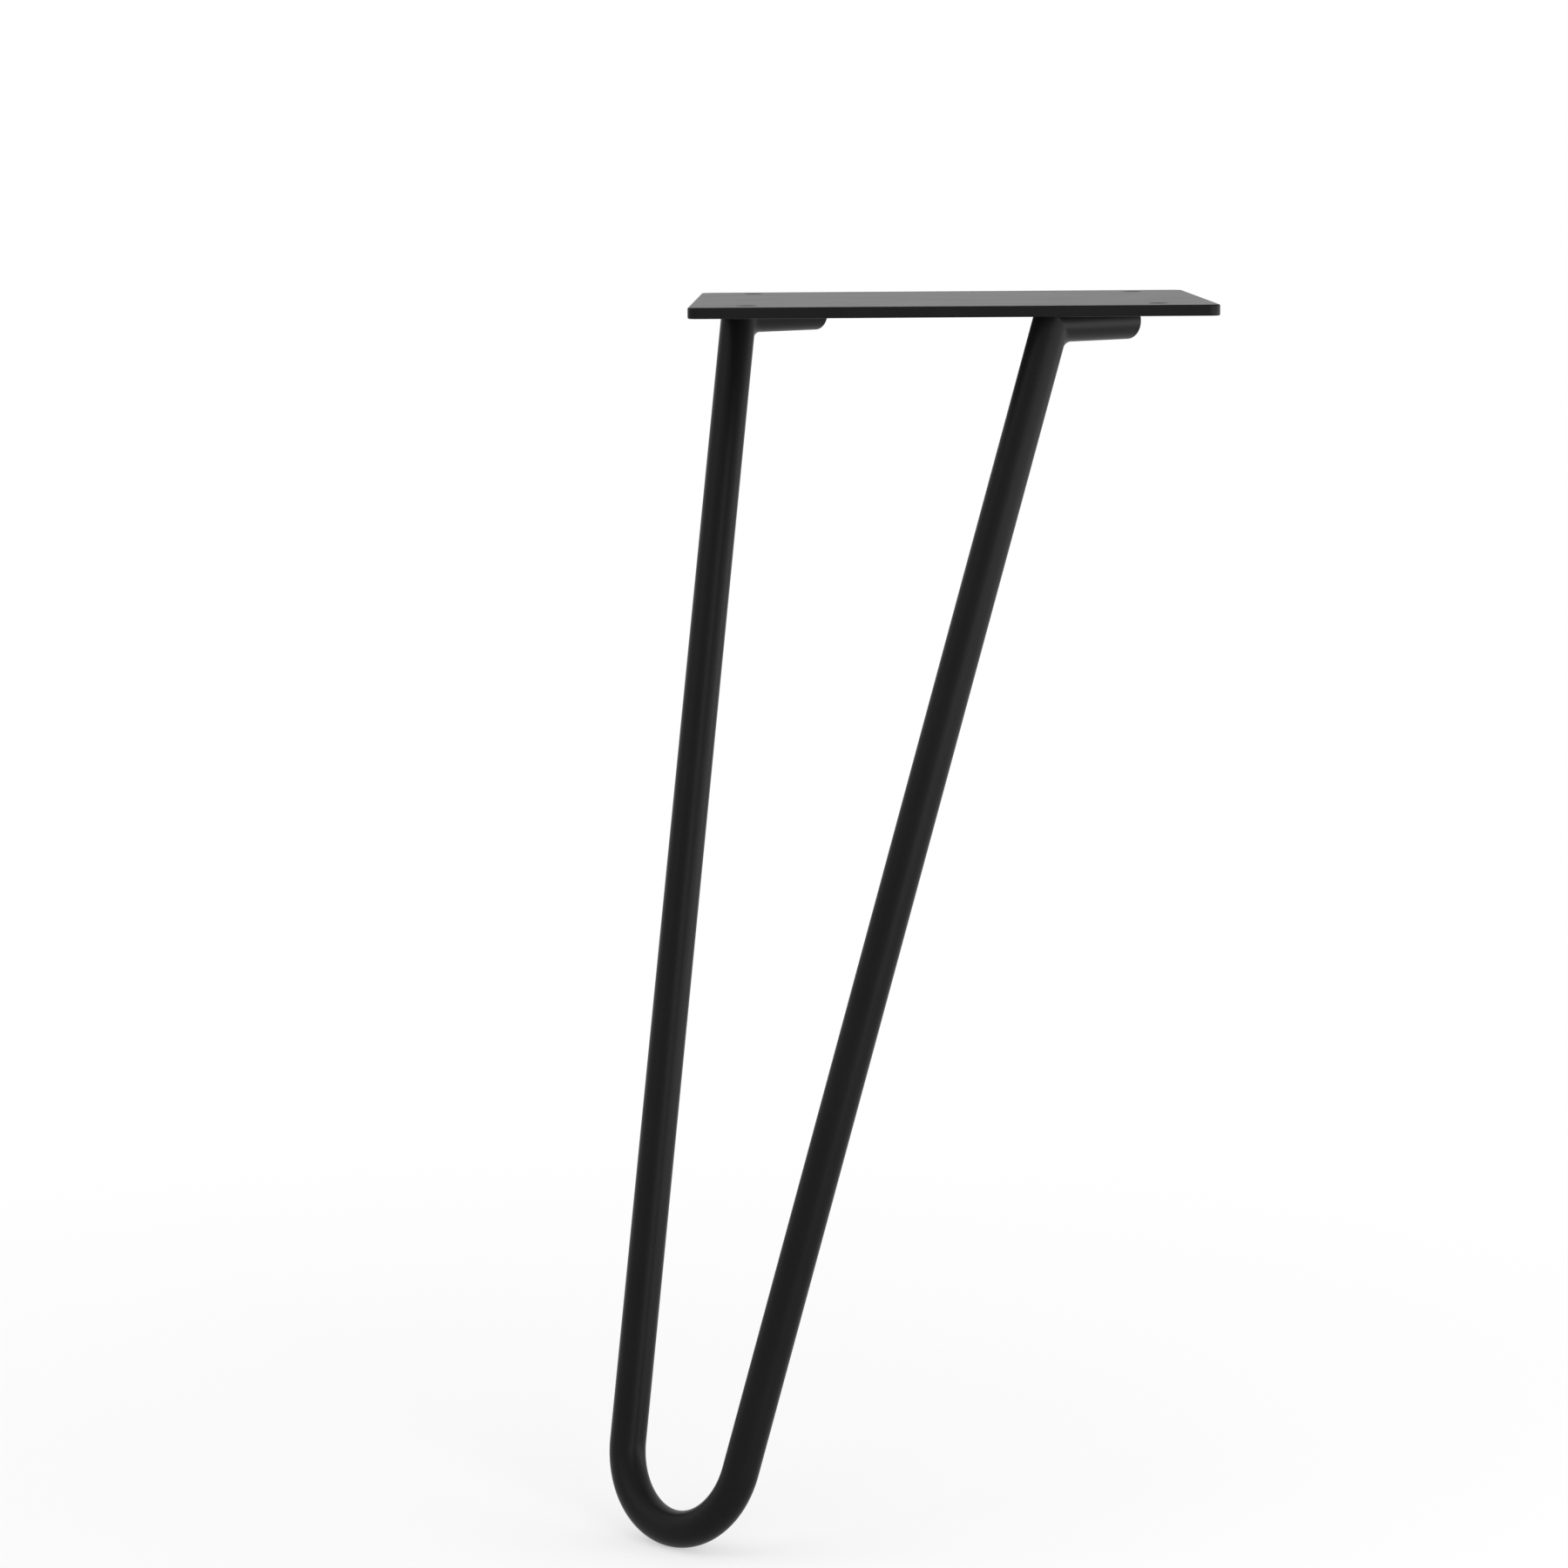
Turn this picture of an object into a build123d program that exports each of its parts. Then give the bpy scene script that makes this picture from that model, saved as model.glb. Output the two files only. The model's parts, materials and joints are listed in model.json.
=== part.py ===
"""Bathroom cabinet leg: a splayed two-rod hairpin welded under a square mounting plate.

Millimetres, +Z up. The origin is the centre of the plate's top face, the plate's edges
lie along X and Y, and the leg splays out over the plate's (-X, -Y) corner.
"""
import os
from math import acos, atan2, cos, hypot, radians, sin, sqrt, tan

from build123d import *

# Whole leg
leg_height = 335.0  # floor to the plate's top face
splay_angle = 15.0  # degrees the hairpin leans out from vertical

# Hairpin: one round steel bar
rod_diameter = 10.0
rod_spacing = 120.0  # between the two rods' axes where they meet their feet
bend_radius = 22.5  # the bar's axis in the U at the floor
foot_length = 31.0  # from the rod's axis to the foot's square-cut end
seat_depth = 2.8  # how far the foot's top is flattened to lie on the plate
crook_radius = 5.0  # rounding inside the corner between rod and foot
rod_inset = 11.7  # plate's edge to the nearer rod's axis
crook_run_out = 0.05  # how far under the bar's skin the crook's rounding runs out

# Mounting plate: laser-cut sheet steel
plate_side = 141.0
plate_thickness = 3.0
plate_corner_radius = 3.0
plate_edge_break = 0.4  # rounding of the sheet's rims
hole_diameter = 5.5
hole_inset = 15.5  # plate's edge to a hole's centre

# Fillet welds along the inner side of each foot
weld_leg = 3.0
weld_length = 18.0
weld_end_gap = 4.0  # foot's cut end to the weld's end

# Derived
rod_radius = rod_diameter / 2
underside = -plate_thickness
foot_axis_z = underside - (rod_radius - seat_depth)
rods_to_edge = rod_inset + rod_spacing / 2 / sqrt(2)
hole_spacing = plate_side - 2 * hole_inset

inward = Vector(1, 1, 0).normalized()  # the plate's diagonal, from the splayed corner
across = Vector(1, -1, 0).normalized()  # from the left rod to the right rod
lean = radians(splay_angle)
downhill = Vector(0, 0, -cos(lean)) - inward * sin(lean)  # down the hairpin's middle
mirror_plane = Plane((0, 0, 0), z_dir=across)  # left half and right half are mirror images

crown = Vector(rods_to_edge - plate_side / 2, rods_to_edge - plate_side / 2, foot_axis_z)
bend_centre_drop = (leg_height + foot_axis_z - rod_radius) / cos(lean) - bend_radius
half_angle = (
    acos(bend_radius / hypot(rod_spacing / 2, bend_centre_drop))
    - atan2(bend_centre_drop, rod_spacing / 2)
)


def on_hairpin(sideways, drop):
    """A point of the hairpin's middle plane, from the crown between the two rods."""
    return crown + across * sideways + downhill * drop


def make_hairpin_rod():
    """The U with its two rods, each turned over into a foot with a flat seat."""
    corner = on_hairpin(rod_spacing / 2, 0)
    down_rod = downhill * cos(half_angle) - across * sin(half_angle)
    run_on = rod_diameter  # rod and foot both run on past their corner, to be mitred there

    top = corner - down_rod * run_on
    tangent_point = on_hairpin(
        bend_radius * cos(half_angle), bend_centre_drop + bend_radius * sin(half_angle)
    )
    floor_point = on_hairpin(0, bend_centre_drop + bend_radius)
    route = Wire(
        [
            Edge.make_line(top, tangent_point),
            Edge.make_tangent_arc(tangent_point, down_rod, floor_point),
        ]
    )
    rod = sweep(Plane(top, z_dir=down_rod) * Circle(rod_radius), path=route)
    foot_start = Plane(corner - inward * run_on, z_dir=inward)
    foot = extrude(foot_start * Circle(rod_radius), run_on + foot_length)

    mitre = Plane(corner, z_dir=down_rod - inward)
    half = split(rod, bisect_by=mitre, keep=Keep.TOP)
    half += split(foot, bisect_by=mitre, keep=Keep.BOTTOM)

    # The inside of the corner is filled out to the path of a ball that touches rod and foot
    half_inside = acos(down_rod.dot(inward)) / 2
    hinge = down_rod.cross(inward).normalized()
    into_crook = (down_rod + inward).normalized()
    ball_reach = rod_radius + crook_radius - crook_run_out
    touch = ball_reach / tan(half_inside)
    rod_touch = corner + down_rod * touch + hinge.cross(down_rod) * rod_radius
    foot_touch = corner + inward * touch + inward.cross(hinge) * rod_radius
    wedge = make_face(Polyline(corner, rod_touch, foot_touch, close=True))
    ball_path = Edge.make_ellipse(
        ball_reach / sin(half_inside),
        ball_reach,
        plane=Plane(corner, x_dir=-into_crook, z_dir=into_crook.cross(hinge)),
    )
    ball_disc = Plane(ball_path @ 0, z_dir=ball_path % 0) * Circle(crook_radius)
    half += extrude(wedge, ball_reach, dir=hinge, both=True) - sweep(ball_disc, path=ball_path)

    half = split(half, bisect_by=Plane.XY.offset(underside), keep=Keep.BOTTOM)
    return half + mirror(half, about=mirror_plane)


def make_mounting_plate():
    """The square plate with a plain screw hole near each corner."""
    outline = RectangleRounded(plate_side, plate_side, plate_corner_radius)
    holes = GridLocations(hole_spacing, hole_spacing, 2, 2) * Circle(hole_diameter / 2)
    sheet = extrude(outline, -plate_thickness)
    rims = sheet.edges().filter_by(Axis.Z, reverse=True)
    return fillet(rims, plate_edge_break) - extrude(Sketch() + holes, -plate_thickness)


def make_weld_beads(rod):
    """One round-ended bead per foot, in the groove that faces the other foot."""
    groove_sideways = sqrt(rod_radius**2 - (rod_radius - seat_depth) ** 2)
    groove = on_hairpin(rod_spacing / 2 - groove_sideways, 0)
    groove = Vector(groove.X, groove.Y, underside)
    far = groove + inward * (foot_length - weld_end_gap - weld_leg)
    near = far - inward * (weld_length - 2 * weld_leg)
    bead = extrude(Plane(near, z_dir=inward) * Circle(weld_leg), (far - near).length)
    bead += Pos(near) * Sphere(weld_leg)
    bead += Pos(far) * Sphere(weld_leg)
    bead = split(bead, bisect_by=Plane.XY.offset(underside), keep=Keep.BOTTOM) - rod
    return Compound(children=bead.solids() + mirror(bead, about=mirror_plane).solids())


hairpin_rod = make_hairpin_rod()
mounting_plate = make_mounting_plate()
weld_beads = make_weld_beads(hairpin_rod)

os.makedirs("parts", exist_ok=True)
export_step(hairpin_rod, "parts/hairpin_rod.step")
export_step(mounting_plate, "parts/mounting_plate.step")
export_step(weld_beads, "parts/weld_beads.step")
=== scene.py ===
"""The hairpin leg, dressed: bent bar, plate and welds in satin black powder coat.

Metres, in the frame of the CAD: +Z up, origin at the centre of the plate's top face.
The hairpin is modelled in its own axes, X across the two rods and Y along the feet,
and is then turned onto the plate's diagonal.
"""

import json
from math import acos, asin, atan2, cos, hypot, pi, radians, sin, sqrt, tan

import bmesh
import bpy
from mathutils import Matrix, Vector


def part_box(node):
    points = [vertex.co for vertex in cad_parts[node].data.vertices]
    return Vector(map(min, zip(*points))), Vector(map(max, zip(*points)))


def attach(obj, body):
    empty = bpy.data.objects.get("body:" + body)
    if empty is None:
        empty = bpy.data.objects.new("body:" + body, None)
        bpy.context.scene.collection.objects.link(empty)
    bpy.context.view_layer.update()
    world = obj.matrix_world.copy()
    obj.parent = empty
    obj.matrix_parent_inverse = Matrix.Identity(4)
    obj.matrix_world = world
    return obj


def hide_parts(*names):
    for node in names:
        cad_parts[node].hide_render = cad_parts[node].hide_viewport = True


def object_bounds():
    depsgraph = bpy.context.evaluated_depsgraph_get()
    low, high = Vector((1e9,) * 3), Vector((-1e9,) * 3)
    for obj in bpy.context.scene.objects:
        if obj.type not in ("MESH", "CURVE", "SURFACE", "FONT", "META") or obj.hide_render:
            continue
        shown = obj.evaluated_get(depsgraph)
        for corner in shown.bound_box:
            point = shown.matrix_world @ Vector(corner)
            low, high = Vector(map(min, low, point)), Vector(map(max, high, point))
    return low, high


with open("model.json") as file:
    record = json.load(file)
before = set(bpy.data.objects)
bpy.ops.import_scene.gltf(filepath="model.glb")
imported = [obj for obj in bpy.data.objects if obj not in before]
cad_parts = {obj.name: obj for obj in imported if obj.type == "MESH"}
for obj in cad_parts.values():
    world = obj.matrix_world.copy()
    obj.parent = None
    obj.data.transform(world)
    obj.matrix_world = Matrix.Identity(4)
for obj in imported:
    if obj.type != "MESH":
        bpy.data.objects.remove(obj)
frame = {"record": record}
cad_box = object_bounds()

MM = 0.001
merge_distance = 0.005 * MM
on_face = 0.001 * MM  # how near to a face a point still counts as on it

# Sizes of the plate and the level of the floor, from the frame where it gives them
plate_low, plate_high = (Vector(corner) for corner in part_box("mounting_plate"))
plate_side = plate_high.x - plate_low.x
plate_thickness = plate_high.z - plate_low.z
underside = plate_low.z
floor_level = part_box("hairpin_rod")[0][2]
plate_corner_radius = 3.0 * MM
plate_edge_break = 0.4 * MM
screw_holes = frame["record"]["mounts"][0]["dims"]
hole_radius = screw_holes["hole_r_mm"] * MM
hole_spacing = screw_holes["spacing_x_mm"] * MM
hole_edge_break = 0.25 * MM

# Sizes of the bent bar
rod_radius = 5.0 * MM
rod_spacing = 120.0 * MM
rod_inset = 11.7 * MM
bend_radius = 22.5 * MM
foot_length = 31.0 * MM
seat_depth = 2.8 * MM
crook_radius = 5.0 * MM
foot_end_break = 0.35 * MM
splay = radians(15)
plate_turn = radians(-45)  # from the hairpin's own axes to the plate's

# Sizes of the welds
weld_leg = 3.0 * MM
weld_length = 18.0 * MM
weld_end_gap = 4.0 * MM
weld_ripple_pitch = 1.2 * MM

# The hairpin in its own axes
across = Vector((1, 0, 0))
inward = Vector((0, 1, 0))
downhill = Vector((0, -sin(splay), -cos(splay)))
foot_axis_z = underside - (rod_radius - seat_depth)
rods_to_edge = rod_inset + rod_spacing / 2 / sqrt(2)
crown = Vector((0, sqrt(2) * (rods_to_edge - plate_side / 2), foot_axis_z))  # between the rods' tops
bend_drop = (foot_axis_z - floor_level - rod_radius) / cos(splay) - bend_radius
half_angle = (
    acos(bend_radius / hypot(rod_spacing / 2, bend_drop))
    - atan2(bend_drop, rod_spacing / 2)
)  # between a rod and the hairpin's middle line
down_rod = downhill * cos(half_angle) - across * sin(half_angle)
bend_centre = crown + downhill * bend_drop
elbow = crown + across * rod_spacing / 2  # where the right rod's axis meets its foot's
turn = pi - acos(down_rod.dot(inward))  # from the rod over into the foot
hinge = down_rod.cross(inward).normalized()
into_crook = (down_rod + inward).normalized()


def open_piece(piece):
    """Opens a piece in edit mode with nothing selected."""
    bpy.ops.object.select_all(action="DESELECT")
    piece.select_set(True)
    bpy.context.view_layer.objects.active = piece
    bpy.ops.object.mode_set(mode="EDIT")
    bpy.ops.mesh.select_mode(type="EDGE")
    bpy.ops.mesh.select_all(action="DESELECT")


def close_piece(piece, name):
    """Merges doubles, turns the faces outwards and leaves edit mode."""
    bpy.ops.mesh.select_all(action="SELECT")
    bpy.ops.mesh.remove_doubles(threshold=merge_distance)
    bpy.ops.mesh.normals_make_consistent(inside=False)
    bpy.ops.object.mode_set(mode="OBJECT")
    piece.name = name
    piece.data.name = name


def pick_edges(piece, wanted):
    """Selects the edges of the open piece whose two ends both pass the test."""
    mesh = bmesh.from_edit_mesh(piece.data)
    for face in mesh.faces:
        face.select_set(False)
    for edge in mesh.edges:
        edge.select_set(all(wanted(vert.co) for vert in edge.verts))
    bmesh.update_edit_mesh(piece.data)


def cut_flat_under_plate():
    """Cuts the open piece off flat where it meets the plate's underside."""
    bpy.ops.mesh.select_all(action="SELECT")
    bpy.ops.mesh.bisect(
        plane_co=(0, 0, underside),
        plane_no=(0, 0, 1),
        clear_outer=True,
        use_fill=True,
    )


def apply_modifier(piece, name):
    """Applies one modifier of a piece."""
    bpy.ops.object.select_all(action="DESELECT")
    piece.select_set(True)
    bpy.context.view_layer.objects.active = piece
    bpy.ops.object.modifier_apply(modifier=name)


def shade_flat_faces_flat(piece):
    """Smooth shading in which the large flat faces stay flat beside their rounded edges."""
    bpy.ops.object.shade_smooth_by_angle(angle=radians(32))
    weighting = piece.modifiers.new("flat_faces", "WEIGHTED_NORMAL")
    weighting.keep_sharp = True
    apply_modifier(piece, weighting.name)


def mirror_and_turn(piece):
    """Adds the left half and turns a piece from the hairpin's axes onto the plate's diagonal."""
    mirror = piece.modifiers.new("left_half", "MIRROR")
    mirror.merge_threshold = merge_distance
    apply_modifier(piece, mirror.name)
    piece.rotation_euler = (0, 0, plate_turn)
    bpy.ops.object.transform_apply(location=True, rotation=True, scale=True)


def crook_point(cos_ring, sin_ring, along, margin):
    """A point of the crook's skin: mitred sharp at the back, hollowed inside by a rolling ball.

    The ring angle's sine is positive inside; along runs from -1 on the rod to 1 on the foot.
    """
    straight = inward if along > 0 else down_rod
    arm = hinge * cos_ring + into_crook * (sin_ring / cos(turn / 2))
    if sin_ring <= 0:
        return elbow + arm * rod_radius + straight * (abs(along) * margin)
    half_roll = asin(sin_ring * sin(turn / 2))
    travel = along * (margin + crook_radius * half_roll)
    roll = max(-half_roll, min(half_roll, travel / crook_radius))
    middle = (hinge * cos_ring + into_crook * (sin_ring * cos(turn / 2))).normalized()
    to_ball = middle * cos(roll) + (down_rod - inward).normalized() * sin(roll)
    run_on = straight * (abs(travel) - crook_radius * abs(roll))
    return elbow + arm * (rod_radius + crook_radius) - to_ball * crook_radius + run_on


def model_bent_bar():
    """Half the bar, spun and extruded from one ring at the floor, then mirrored."""
    ring_sides = 64
    bend_steps = 36
    rod_steps = 12
    crook_steps = 24
    foot_steps = 3

    lowest_axis_point = bend_centre + downhill * bend_radius
    bpy.ops.object.select_all(action="DESELECT")
    bpy.ops.mesh.primitive_circle_add(
        vertices=ring_sides,
        radius=rod_radius,
        location=lowest_axis_point,
        rotation=(0, pi / 2, 0),
    )
    bar = bpy.context.object
    bpy.ops.object.transform_apply(location=True, rotation=True, scale=True)
    open_piece(bar)

    # round the U to the start of the straight rod
    bpy.ops.mesh.select_all(action="SELECT")
    bpy.ops.mesh.spin(
        steps=bend_steps,
        angle=pi / 2 - half_angle,
        center=bend_centre,
        axis=across.cross(downhill),
    )

    # up the rod to the crook
    rod_start = bend_centre + (across * cos(half_angle) + downhill * sin(half_angle)) * bend_radius
    margin = 1.0 * MM
    setback = (rod_radius + crook_radius) * tan(turn / 2) + 2 * margin
    rod_step = (elbow + down_rod * setback - rod_start) / rod_steps
    for _ in range(rod_steps):
        bpy.ops.mesh.extrude_region_move(TRANSFORM_OT_translate={"value": rod_step})

    # round the crook and along the foot, which is cut square
    axis_radius = setback / tan(turn / 2)
    crook_centre = elbow + into_crook * axis_radius / cos(turn / 2)
    bpy.ops.mesh.spin(steps=crook_steps, angle=turn, center=crook_centre, axis=hinge)
    foot_step = inward * (foot_length - setback) / foot_steps
    for _ in range(foot_steps):
        bpy.ops.mesh.extrude_region_move(TRANSFORM_OT_translate={"value": foot_step})
    bpy.ops.mesh.edge_face_add()

    # the spun rings of the crook are drawn in to its real skin
    mesh = bmesh.from_edit_mesh(bar.data)
    for vert in mesh.verts:
        reach = vert.co - crook_centre
        aside = reach.dot(hinge)
        reach -= hinge * aside
        angle = atan2(reach.dot(-down_rod), reach.dot(down_rod.cross(hinge)))
        step = round(angle / turn * crook_steps)
        if 0 < step < crook_steps:
            along = (2 * step - crook_steps) / (crook_steps - 2)
            inside = axis_radius - reach.length
            vert.co = crook_point(aside / rod_radius, inside / rod_radius, along, margin)
    bmesh.update_edit_mesh(bar.data)

    # the flat seat under the plate, and the broken edge of the foot's end
    cut_flat_under_plate()
    pick_edges(bar, lambda point: abs((point - elbow).dot(inward) - foot_length) < on_face)
    bpy.ops.mesh.bevel(offset=foot_end_break, segments=3, profile=0.5, affect="EDGES")
    close_piece(bar, "bent_bar")
    mirror_and_turn(bar)
    shade_flat_faces_flat(bar)
    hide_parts("hairpin_rod")
    return bar


def model_plate():
    """The sheet with its rounded corners, soft rims and four screw holes."""
    bpy.ops.object.select_all(action="DESELECT")
    bpy.ops.mesh.primitive_cube_add(size=1, location=(0, 0, underside / 2))
    plate = bpy.context.object
    plate.scale = (plate_side, plate_side, plate_thickness)
    bpy.ops.object.transform_apply(location=True, rotation=True, scale=True)
    open_piece(plate)
    mesh = bmesh.from_edit_mesh(plate.data)
    for edge in mesh.edges:
        edge.select_set(abs(edge.verts[0].co.z - edge.verts[1].co.z) > plate_thickness / 2)
    bmesh.update_edit_mesh(plate.data)
    bpy.ops.mesh.bevel(offset=plate_corner_radius, segments=10, profile=0.5, affect="EDGES")
    pick_edges(plate, lambda point: abs(point.z) < on_face)
    bpy.ops.mesh.bevel(offset=plate_edge_break, segments=4, profile=0.5, affect="EDGES")
    pick_edges(plate, lambda point: abs(point.z - underside) < on_face)
    bpy.ops.mesh.bevel(offset=plate_edge_break, segments=4, profile=0.5, affect="EDGES")
    close_piece(plate, "plate")

    hole_sides = 48
    rim_tolerance = 0.02 * MM
    half = hole_spacing / 2
    centres = [Vector((x, y, 0)) for x in (-half, half) for y in (-half, half)]
    for centre in centres:
        bpy.ops.object.select_all(action="DESELECT")
        bpy.ops.mesh.primitive_cylinder_add(
            vertices=hole_sides,
            radius=hole_radius,
            depth=4 * plate_thickness,
            location=centre,
        )
        drill = bpy.context.object
        bpy.ops.object.transform_apply(location=True, rotation=True, scale=True)
        hole = plate.modifiers.new("screw_hole", "BOOLEAN")
        hole.operation = "DIFFERENCE"
        hole.object = drill
        apply_modifier(plate, hole.name)
        bpy.data.objects.remove(drill)

    open_piece(plate)

    def on_hole_rim(point):
        flat = Vector((point.x, point.y, 0))
        near = min((flat - centre).length for centre in centres)
        at_face = min(abs(point.z), abs(point.z - underside))
        return abs(near - hole_radius) < rim_tolerance and at_face < on_face

    pick_edges(plate, on_hole_rim)
    bpy.ops.mesh.bevel(offset=hole_edge_break, segments=3, profile=0.5, affect="EDGES")
    close_piece(plate, "plate")
    shade_flat_faces_flat(plate)
    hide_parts("mounting_plate")
    return plate


def model_welds():
    """A rippled bead in the groove along the inner side of each foot."""
    groove_sideways = sqrt(rod_radius**2 - (rod_radius - seat_depth) ** 2)
    groove = elbow - across * groove_sideways
    groove.z = underside
    ripple_half = 1.5 * weld_ripple_pitch
    far = groove + inward * (foot_length - weld_end_gap - ripple_half)
    ripples = int((weld_length - 2 * ripple_half) / weld_ripple_pitch) + 1

    # one ripple: a flattened drop, cut flat where it meets the plate
    bpy.ops.object.select_all(action="DESELECT")
    bpy.ops.mesh.primitive_uv_sphere_add(segments=32, ring_count=16, radius=weld_leg, location=far)
    welds = bpy.context.object
    welds.scale = (1, ripple_half / weld_leg, 1)
    bpy.ops.object.transform_apply(location=True, rotation=True, scale=True)
    open_piece(welds)
    cut_flat_under_plate()
    close_piece(welds, "welds")
    bpy.ops.object.select_all(action="DESELECT")
    bpy.ops.mesh.primitive_cylinder_add(
        vertices=96,
        radius=rod_radius,
        depth=4 * foot_length,
        location=elbow,
        rotation=(pi / 2, 0, 0),
    )
    foot = bpy.context.object
    bpy.ops.object.transform_apply(location=True, rotation=True, scale=True)
    bed = welds.modifiers.new("bed_on_foot", "BOOLEAN")
    bed.operation = "DIFFERENCE"
    bed.object = foot
    apply_modifier(welds, bed.name)
    bpy.data.objects.remove(foot)

    # the row of ripples, run together
    row = welds.modifiers.new("ripples", "ARRAY")
    row.count = ripples
    row.use_relative_offset = False
    row.use_constant_offset = True
    row.constant_offset_displace = -inward * weld_ripple_pitch
    apply_modifier(welds, row.name)
    fuse = welds.modifiers.new("fuse", "REMESH")
    fuse.mode = "VOXEL"
    fuse.voxel_size = 0.2 * MM
    apply_modifier(welds, fuse.name)
    soften = welds.modifiers.new("soften", "SMOOTH")
    soften.factor = 0.5
    soften.iterations = 3
    apply_modifier(welds, soften.name)
    mirror_and_turn(welds)
    bpy.ops.object.shade_smooth_by_angle(angle=radians(50))
    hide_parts("weld_beads")
    return welds


def black_powder_coat():
    """Near-black satin coat: fine orange peel, a faint unevenness of colour and sheen."""
    coat = bpy.data.materials.new("black_powder_coat")
    coat.use_nodes = True
    nodes = coat.node_tree.nodes
    links = coat.node_tree.links
    surface = nodes["Principled BSDF"]
    surface.inputs["Specular IOR Level"].default_value = 0.085
    place = nodes.new("ShaderNodeTexCoord")

    clouds_from = 0.3
    clouds_to = 0.7
    clouds = nodes.new("ShaderNodeTexNoise")
    clouds.inputs["Scale"].default_value = 45
    clouds.inputs["Detail"].default_value = 3
    links.new(place.outputs["Object"], clouds.inputs["Vector"])

    black = nodes.new("ShaderNodeValToRGB")
    black.color_ramp.elements[0].position = clouds_from
    black.color_ramp.elements[0].color = (0.0050, 0.0050, 0.0050, 1)
    black.color_ramp.elements[1].position = clouds_to
    black.color_ramp.elements[1].color = (0.0062, 0.0062, 0.0062, 1)
    links.new(clouds.outputs["Fac"], black.inputs["Fac"])
    links.new(black.outputs["Color"], surface.inputs["Base Color"])

    sheen = nodes.new("ShaderNodeMapRange")
    sheen.inputs["From Min"].default_value = clouds_from
    sheen.inputs["From Max"].default_value = clouds_to
    sheen.inputs["To Min"].default_value = 0.35
    sheen.inputs["To Max"].default_value = 0.375
    links.new(clouds.outputs["Fac"], sheen.inputs["Value"])
    links.new(sheen.outputs["Result"], surface.inputs["Roughness"])

    peel = nodes.new("ShaderNodeTexNoise")
    peel.inputs["Scale"].default_value = 900
    peel.inputs["Detail"].default_value = 1
    links.new(place.outputs["Object"], peel.inputs["Vector"])
    grain = nodes.new("ShaderNodeTexNoise")
    grain.inputs["Scale"].default_value = 4200
    grain.inputs["Detail"].default_value = 2
    links.new(place.outputs["Object"], grain.inputs["Vector"])
    peel_bump = nodes.new("ShaderNodeBump")
    peel_bump.inputs["Strength"].default_value = 0.25
    peel_bump.inputs["Distance"].default_value = 0.03 * MM
    links.new(peel.outputs["Fac"], peel_bump.inputs["Height"])
    grain_bump = nodes.new("ShaderNodeBump")
    grain_bump.inputs["Strength"].default_value = 0.2
    grain_bump.inputs["Distance"].default_value = 0.01 * MM
    links.new(grain.outputs["Fac"], grain_bump.inputs["Height"])
    links.new(peel_bump.outputs["Normal"], grain_bump.inputs["Normal"])
    links.new(grain_bump.outputs["Normal"], surface.inputs["Normal"])
    return coat


def seen_directly(tree):
    """1 for rays that show the studio, straight or in a reflection, and 0 for rays that only light."""
    path = tree.nodes.new("ShaderNodeLightPath")
    seen = path.outputs["Is Camera Ray"]
    for kind in ("Is Glossy Ray", "Is Transmission Ray"):
        either = tree.nodes.new("ShaderNodeMath")
        either.operation = "MAXIMUM"
        tree.links.new(seen, either.inputs[0])
        tree.links.new(path.outputs[kind], either.inputs[1])
        seen = either.outputs["Value"]
    return seen


def place_floor():
    """A wide pale floor: it takes the leg's shadow, runs out to white and is clear from below."""
    floor_side = 30
    shadow_reach = 0.10
    white_from = 0.60
    least_white = 0.5
    bpy.ops.object.select_all(action="DESELECT")
    bpy.ops.mesh.primitive_plane_add(size=floor_side, location=cad_box[0])
    floor = bpy.context.object
    floor.name = "floor"
    paint = bpy.data.materials.new("pale_floor")
    paint.use_nodes = True
    tree = paint.node_tree
    matt = tree.nodes["Principled BSDF"]
    matt.inputs["Base Color"].default_value = (0.93, 0.93, 0.93, 1)
    matt.inputs["Roughness"].default_value = 0.9
    matt.inputs["Specular IOR Level"].default_value = 0.0
    white = tree.nodes.new("ShaderNodeEmission")
    clear = tree.nodes.new("ShaderNodeBsdfTransparent")

    place = tree.nodes.new("ShaderNodeTexCoord")
    distance = tree.nodes.new("ShaderNodeVectorMath")
    distance.operation = "LENGTH"
    tree.links.new(place.outputs["Object"], distance.inputs[0])
    run_out = tree.nodes.new("ShaderNodeMapRange")
    run_out.interpolation_type = "SMOOTHSTEP"
    run_out.inputs["From Min"].default_value = shadow_reach
    run_out.inputs["From Max"].default_value = white_from
    run_out.inputs["To Min"].default_value = least_white
    tree.links.new(distance.outputs["Value"], run_out.inputs["Value"])
    share = tree.nodes.new("ShaderNodeMath")
    share.operation = "MULTIPLY"
    tree.links.new(run_out.outputs["Result"], share.inputs[0])
    tree.links.new(seen_directly(tree), share.inputs[1])

    top = tree.nodes.new("ShaderNodeMixShader")
    tree.links.new(share.outputs["Value"], top.inputs["Fac"])
    tree.links.new(matt.outputs["BSDF"], top.inputs[1])
    tree.links.new(white.outputs["Emission"], top.inputs[2])
    side = tree.nodes.new("ShaderNodeNewGeometry")
    both = tree.nodes.new("ShaderNodeMixShader")
    tree.links.new(side.outputs["Backfacing"], both.inputs["Fac"])
    tree.links.new(top.outputs["Shader"], both.inputs[1])
    tree.links.new(clear.outputs["BSDF"], both.inputs[2])
    tree.links.new(both.outputs["Shader"], tree.nodes["Material Output"].inputs["Surface"])
    floor.data.materials.append(paint)


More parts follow.
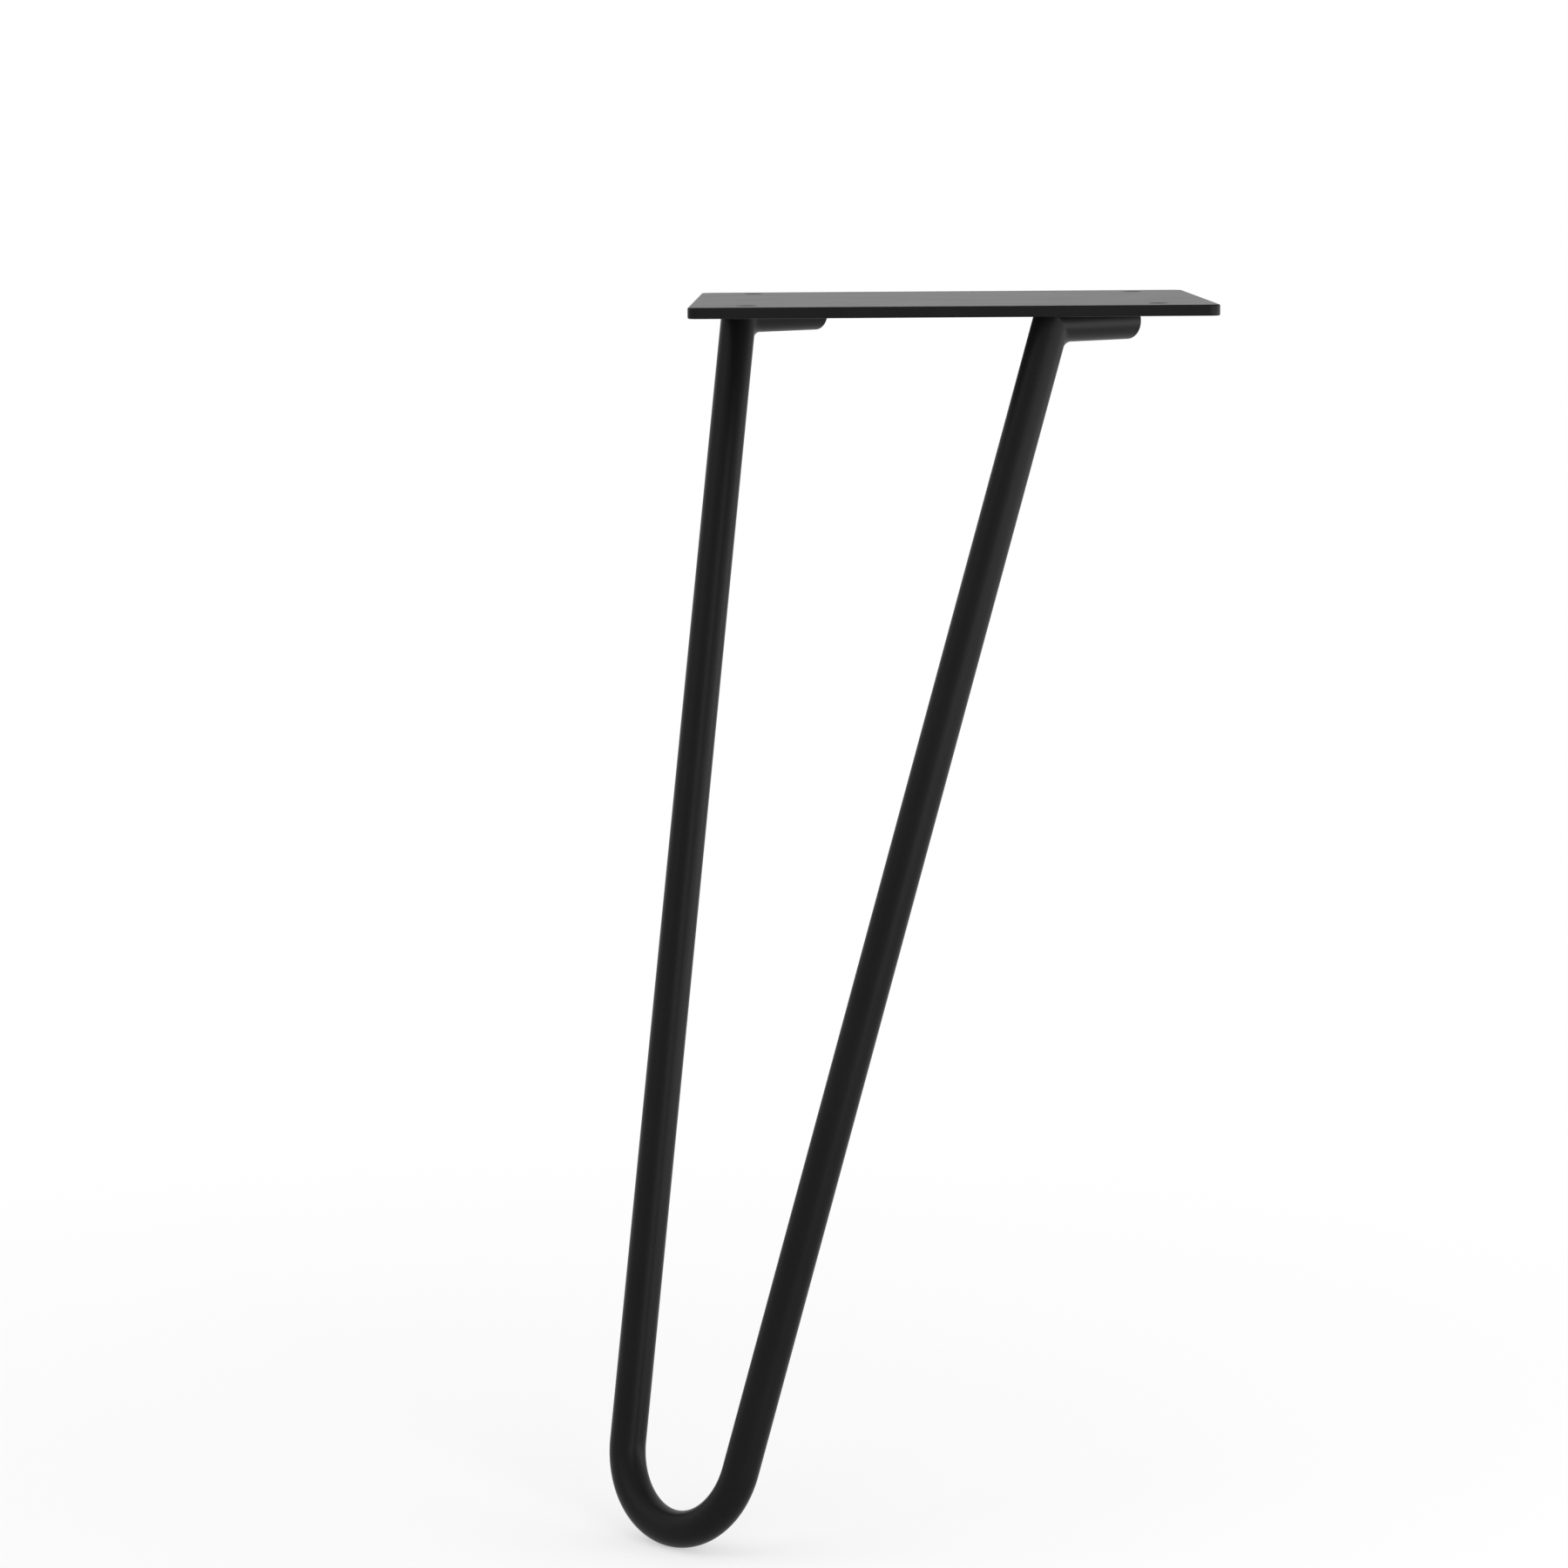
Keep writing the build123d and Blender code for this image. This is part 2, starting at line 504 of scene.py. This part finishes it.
def place_softbox(name, place, target, width, height, watts):
    """One rectangular soft light, turned to its target."""
    light = bpy.data.lights.new(name, "AREA")
    light.shape = "RECTANGLE"
    light.size = width
    light.size_y = height
    light.energy = watts
    lamp = bpy.data.objects.new(name, light)
    lamp.location = place
    lamp.rotation_euler = (Vector(target) - Vector(place)).to_track_quat("-Z", "Y").to_euler()
    bpy.context.scene.collection.objects.link(lamp)


def light_studio():
    """A white surround, two low soft lights at the right and two higher ones, right and left."""
    fill_strength = 0.8
    world = bpy.data.worlds.new("white_studio")
    world.use_nodes = True
    tree = world.node_tree
    surround = tree.nodes["Background"]
    surround.inputs["Color"].default_value = (1, 1, 1, 1)
    strength = tree.nodes.new("ShaderNodeMapRange")
    strength.inputs["To Min"].default_value = fill_strength
    tree.links.new(seen_directly(tree), strength.inputs["Value"])
    tree.links.new(strength.outputs["Result"], surround.inputs["Strength"])
    bpy.context.scene.world = world
    middle = (cad_box[0] + cad_box[1]) / 2
    place_softbox("front_softbox", (0.71, -0.71, -0.14), middle, 1.0, 0.38, 4.1)
    place_softbox("side_softbox", (1.0, 0.05, -0.14), middle, 0.8, 0.38, 2.9)
    place_softbox("right_softbox", (0.56, -1.39, 0.45), middle, 0.7, 0.4, 3.1)
    place_softbox("left_softbox", (-2.0, -0.8, 1.6), middle, 2.0, 2.0, 13)


def place_camera():
    """Camera a little above the plate, looking slightly down along +Y."""
    camera = bpy.data.cameras.new("camera")
    camera.lens = 106.38
    camera.sensor_width = 36.0
    view = bpy.data.objects.new("camera", camera)
    view.location = (-0.0319, -1.3, 0.0384)
    tilt_down = radians(7.663)
    lean_right = radians(0.391)
    pan_left = radians(0.592)
    view.rotation_euler = (pi / 2 - tilt_down, lean_right, pan_left)
    bpy.context.scene.collection.objects.link(view)
    bpy.context.scene.camera = view


coat = black_powder_coat()
for piece in (model_bent_bar(), model_plate(), model_welds()):
    piece.data.materials.clear()
    piece.data.materials.append(coat)
    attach(piece, "root")

place_floor()
light_studio()
place_camera()
bpy.context.scene.view_settings.view_transform = "Standard"
